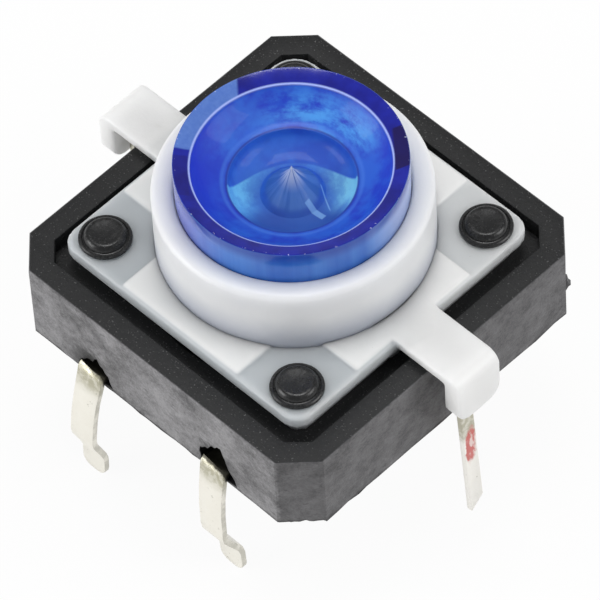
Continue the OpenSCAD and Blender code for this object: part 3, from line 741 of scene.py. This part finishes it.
def blue_clear():
    """Clear blue plastic that deepens with its thickness. The moulding's flow shows as streaks of relief
    and roughness in the bowl, and its top edge and walls are duller than its underside. The dull layer
    carries painted light and shade: streaked highlights, glints, reflections, dark patches and rings."""
    f = Finish("blue_clear")
    right = f.x * 0.674 + f.y * 0.738
    left = 0 - right
    far = f.y * 0.674 - f.x * 0.738
    outward = f.radius ** -1.0
    flow = f.node("ShaderNodeCombineXYZ", {}, {
        "X": f.x * outward * 0.8, "Y": f.y * outward * 0.8, "Z": f.radius * 1.3})
    streak = f.noise(0.35, 5, 0.6, flow)
    spokes = f.noise(0.3, 3, 0.6, f.node("ShaderNodeCombineXYZ", {}, {
        "X": f.x * outward, "Y": f.y * outward, "Z": f.radius * 0.2}))
    grain = f.noise(0.16, 4, 0.65)
    patch = f.noise(0.9, 3, 0.55)
    ripple = f.noise(0.8, 2, 0.4)

    inner = 1 - f.radius.ramp(2.9, 2.93)
    rim = f.radius.ramp(2.9, 2.93) * (1 - f.radius.ramp(3.38, 3.41)) * f.z.ramp(6.6, 6.65)
    wall = f.radius.ramp(3.38, 3.41)
    bowl = f.radius.ramp(1.84, 1.92) * inner * f.z.ramp(5.7, 5.85)
    pit = (1 - f.radius.ramp(1.84, 1.92)) * f.z.ramp(5.1, 5.2)

    # Painted light: bright cyan streaks across the bowl's far right. Painted shade: the bowl darker on the
    # left.
    lit = (f.radius.band(2.35, 0.8) * far.ramp(0.3, 1.4) * (0.15 + 0.85 * right.ramp(-1.3, 0.7))
           * (streak * 0.75 + grain * 0.25).ramp(0.36, 0.62))
    shaded_left = left.ramp(1.6, 2.7) * patch.ramp(0.3, 0.55)
    bowl_tint = f.mix(patch.ramp(0.35, 0.65), (0.012, 0.05, 0.62, 1), (0.02, 0.13, 0.74, 1))
    bowl_tint = f.mix(shaded_left * 0.75, bowl_tint, (0.01, 0.018, 0.62, 1))
    bowl_tint = f.mix(lit * 0.85, bowl_tint, (0.09, 0.44, 1.0, 1))

    # Painted light: cyan crescents in the pit hugging the ring step, brighter towards the right.
    below = 1.08 - far - right * right * 0.3
    gleam = (below.ramp(0, 0.1) * (1 - below.ramp(0.6, 1.9)) * f.radius.ramp(0.8, 1.55)
             * (0.6 + 0.4 * (streak * 0.7 + grain * 0.3).ramp(0.4, 0.58)))
    # A painted reflection: a small pale bar in the pit, and a thin painted glint line beside the cone.
    along = right * 0.69 - far * 0.72
    across = right * 0.72 + far * 0.69
    reflected_bar = (along.ramp(0.64, 0.68) * (1 - along.ramp(1.3, 1.34))
             * (1 - abs(across + 0.11).ramp(0.07, 0.11)))
    glint_line = ((right + far * 0.25).band(0.83, 0.035) * far.ramp(-0.85, -0.7)
              * (1 - far.ramp(0.05, 0.15)))
    cone = f.z.ramp(5.4, 5.6) * (1 - f.radius.ramp(0.75, 0.95))
    # Painted highlight: pale streaks near the cone's tip.
    glint = cone * f.z.ramp(5.85, 6.45) * spokes.ramp(0.36, 0.56)
    pit_tint = f.mix(patch.ramp(0.35, 0.65), (0.02, 0.1, 0.62, 1), (0.03, 0.16, 0.72, 1))
    # The pit is painted darker towards the near side, as painted shade.
    pit_tint = f.mix(below.ramp(0.9, 1.9) * 0.7, pit_tint, (0.03, 0.1, 0.42, 1))
    pit_tint = f.mix(gleam, pit_tint, f.mix(right.ramp(0.4, 1.4), (0.16, 0.58, 1.0, 1),
                                            (0.24, 0.7, 1.0, 1)))
    pit_tint = f.mix(cone * 0.75, pit_tint, f.mix(spokes.ramp(0.36, 0.62), (0.04, 0.15, 0.48, 1),
                                                  (0.09, 0.24, 0.62, 1)))
    pit_tint = f.mix(glint * 0.85, pit_tint, (0.62, 0.7, 0.88, 1))
    pit_tint = f.mix(reflected_bar.most(glint_line) * 0.7, pit_tint, (0.25, 0.52, 0.95, 1))

    rim_tint = f.mix(patch.ramp(0.3, 0.7), (0.006, 0.008, 0.22, 1), (0.01, 0.018, 0.36, 1))
    # A pale patch on the rim's far left is a painted reflection of a lamp.
    rim_tint = f.mix(left.ramp(1.35, 1.45) * far.ramp(0.7, 0.78) * 0.8, rim_tint,
                     f.mix(grain, (0.07, 0.18, 0.6, 1), (0.17, 0.32, 0.75, 1)))
    # Painted dark reflections on the rim's left and right.
    dark_reflection = (abs(right).ramp(2.9, 3.0) * (far + left * 0.08).ramp(-0.75, -0.7)
            * (1 - (far + left * 0.08).ramp(0.72, 0.78)))
    rim_tint = f.mix(dark_reflection * (0.85 - 0.5 * left.ramp(0, 1)), rim_tint, (0.008, 0.002, 0.06, 1))
    # Painted highlight: a pale line along the rim's inner edge.
    edge = f.radius.band(2.93, 0.055) * f.z.ramp(6.6, 6.64)
    rim_tint = f.mix(edge, rim_tint, (0.42, 0.52, 1.0, 1))
    nick = f.noise(0.08, 2, 0.5).ramp(0.66, 0.72) * f.radius.band(3.37, 0.07)
    rim_tint = f.mix(nick * 0.7, rim_tint, (0.7, 0.75, 1.0, 1))
    wall_tint = f.mix(streak.ramp(0.3, 0.7), (0.035, 0.17, 0.7, 1), (0.1, 0.32, 0.9, 1))
    # The outer wall is painted lilac on the left and pale on the right as painted light, and darker just
    # under the rim as painted shade.
    wall_tint = f.mix(left.ramp(1.8, 3.3) * 0.6, wall_tint, (0.3, 0.28, 0.75, 1))
    wall_tint = f.mix(right.ramp(1.8, 3.2) * 0.8, wall_tint, (0.52, 0.62, 0.95, 1))
    wall_tint = f.mix(f.z.ramp(6.3, 6.75) * 0.6, wall_tint, (0.012, 0.03, 0.4, 1))
    # Painted light in a pale band just outside the ring step, and painted shade in dark rings at it.
    halo = f.radius.band(2.03, 0.1) * f.z.ramp(5.7, 5.8)
    ring = f.radius.band(1.9, 0.06).most(f.radius.band(1.76, 0.04) * 0.6) * f.z.ramp(5.7, 5.8)

    tint = f.mix(bowl, pit_tint, bowl_tint)
    tint = f.mix(halo * 0.5, tint, (0.06, 0.22, 0.85, 1))
    tint = f.mix(ring * 0.7, tint, (0.006, 0.02, 0.3, 1))
    tint = f.mix(wall, tint, wall_tint)
    tint = f.mix(rim.most(edge), tint, rim_tint)
    haze = rim * 0.98 + wall * 0.75 + bowl * 0.85 + pit * 0.85
    clear = f.shader(Base_Color=f.mix(ripple, (0.96, 0.97, 1.0, 1), (1.0, 1.0, 1.0, 1)),
                     Roughness=0.05, IOR=1.49, Transmission_Weight=1.0,
                     Normal=f.bump(ripple, 0.002))
    milky = f.shader(Base_Color=tint, Roughness=0.14 + bowl * (0.15 + 0.5 * streak) + 0.45 * pit, IOR=1.45,
                     Normal=f.bump(streak * (bowl + pit), 0.01))
    both = f.node("ShaderNodeMixShader", {}, {0: haze, 1: clear, 2: milky})
    return f.done(both, f.node("ShaderNodeVolumeAbsorption", {},
                               {"Color": (0.0, 0.4, 0.93, 1), "Density": 2400.0}))


wear(lens, blue_clear())
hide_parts("lens")
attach(lens, "button")

# Plain pale floor under the terminals' tips, and a white surround.
FLOOR_DROP = 0.02 * MM
only(None)
bpy.ops.mesh.primitive_plane_add(size=3, location=(0, 0, cad_bounds[0].z - FLOOR_DROP))
ground = bpy.context.object
ground.name = "ground"


def pale_ground():
    f = Finish("pale_ground")
    grain = f.noise(20, 2, 0.5)
    lit = f.node("ShaderNodeBsdfDiffuse", {},
                 {"Color": f.mix(grain, (0.88, 0.88, 0.88, 1), (0.9, 0.9, 0.9, 1))})
    white = f.node("ShaderNodeEmission", {}, {"Color": (1, 1, 1, 1), "Strength": 1.0})
    rays = f.node("ShaderNodeLightPath", {}, {}, None)
    seen = Socket(f, rays.outputs["Is Camera Ray"])
    gloss = Socket(f, rays.outputs["Is Glossy Ray"])
    through = Socket(f, rays.outputs["Is Transmission Ray"])
    amount = (seen + gloss + through).maths("MINIMUM", seen + gloss + through, 1.0) * 0.94
    return f.done(f.node("ShaderNodeMixShader", {}, {0: amount, 1: lit, 2: white}))


wear(ground, pale_ground())

world = bpy.data.worlds.new("studio")
bpy.context.scene.world = world
world.use_nodes = True
sky = world.node_tree.nodes["Background"]
rays = world.node_tree.nodes.new("ShaderNodeLightPath")
strength = world.node_tree.nodes.new("ShaderNodeMix")
strength.inputs[2].default_value = 0.4
strength.inputs[3].default_value = 1.0
world.node_tree.links.new(rays.outputs["Is Camera Ray"], strength.inputs[0])
world.node_tree.links.new(strength.outputs[0], sky.inputs["Strength"])
sky.inputs["Color"].default_value = (1, 1, 1, 1)


def soft_lamp(name, azimuth, elevation, distance, size, power):
    """A square soft box that faces the part. Azimuth 0 is in front, on the -Y side."""
    a, e = math.radians(azimuth), math.radians(elevation)
    away = Vector((math.sin(a) * math.cos(e), -math.cos(a) * math.cos(e), math.sin(e)))
    data = bpy.data.lights.new(name, "AREA")
    data.size = size
    data.energy = power
    lamp_box = bpy.data.objects.new(name, data)
    lamp_box.location = away * distance
    lamp_box.rotation_mode = "QUATERNION"
    lamp_box.rotation_quaternion = away.to_track_quat("Z", "Y")
    lamp_box.visible_camera = False
    bpy.context.scene.collection.objects.link(lamp_box)


soft_lamp("left", -34, 22, 0.9, 0.55, 4.2)
soft_lamp("right", 122, 34, 0.9, 0.55, 3.2)
soft_lamp("top", 228, 79, 0.9, 0.35, 2.3)

# Camera at the photograph's angle, from a fit to the housing's corners.
AZIMUTH, ELEVATION, ROLL = (math.radians(v) for v in (47.59, 53.40, -3.78))
DISTANCE = 191.8 * MM
PHOTO_WIDTH = 600
FOCAL_PIXELS = 6572
back = Vector((math.sin(AZIMUTH) * math.cos(ELEVATION),
               -math.cos(AZIMUTH) * math.cos(ELEVATION), math.sin(ELEVATION)))
right = Vector((math.cos(AZIMUTH), math.sin(AZIMUTH), 0))
up = back.cross(right)
turned_right = right * math.cos(ROLL) + up * math.sin(ROLL)
turned_up = up * math.cos(ROLL) - right * math.sin(ROLL)
camera_data = bpy.data.cameras.new("camera")
camera_data.sensor_width = 36
camera_data.lens = FOCAL_PIXELS / PHOTO_WIDTH * camera_data.sensor_width
camera_data.clip_start, camera_data.clip_end = 0.01, 10
camera = bpy.data.objects.new("camera", camera_data)
bpy.context.scene.collection.objects.link(camera)
eye = Vector((0, 0, 1.5 * MM)) + back * DISTANCE + turned_right * 0.047 * MM - turned_up * 0.803 * MM
camera.matrix_world = Matrix((
    (turned_right.x, turned_up.x, back.x, eye.x),
    (turned_right.y, turned_up.y, back.y, eye.y),
    (turned_right.z, turned_up.z, back.z, eye.z),
    (0, 0, 0, 1)))
bpy.context.scene.camera = camera
bpy.context.scene.view_settings.view_transform = "Standard"
